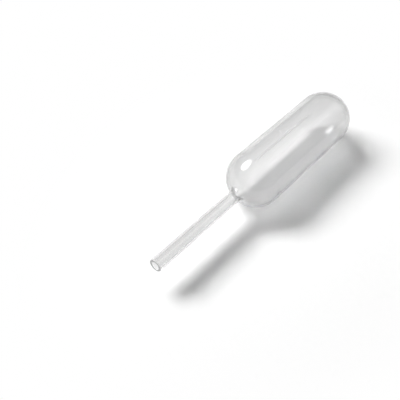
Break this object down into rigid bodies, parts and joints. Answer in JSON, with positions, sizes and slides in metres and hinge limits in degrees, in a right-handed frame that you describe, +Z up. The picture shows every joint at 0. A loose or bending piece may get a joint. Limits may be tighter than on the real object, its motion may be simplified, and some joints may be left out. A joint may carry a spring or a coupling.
{
  "type": "plastic dropper pipette",
  "caption": "Clear dropper pipette: a hollow capsule-shaped squeeze bulb with fine parting lines, a flared throat and a short straight stem with an open bore.",
  "frame": {"origin": "on the ground, under the middle of the pipette's length", "axes": "+X along the axis, out of the stem's open tip; +Z up, with the pipette lying on its bulb"},
  "size_m": [0.077, 0.0154, 0.0155],
  "materials": {
    "clear_plastic": "clear, glossy"
  },
  "bodies": {
    "root": {"pipette": "clear_plastic"}
  },
  "joints": []
}
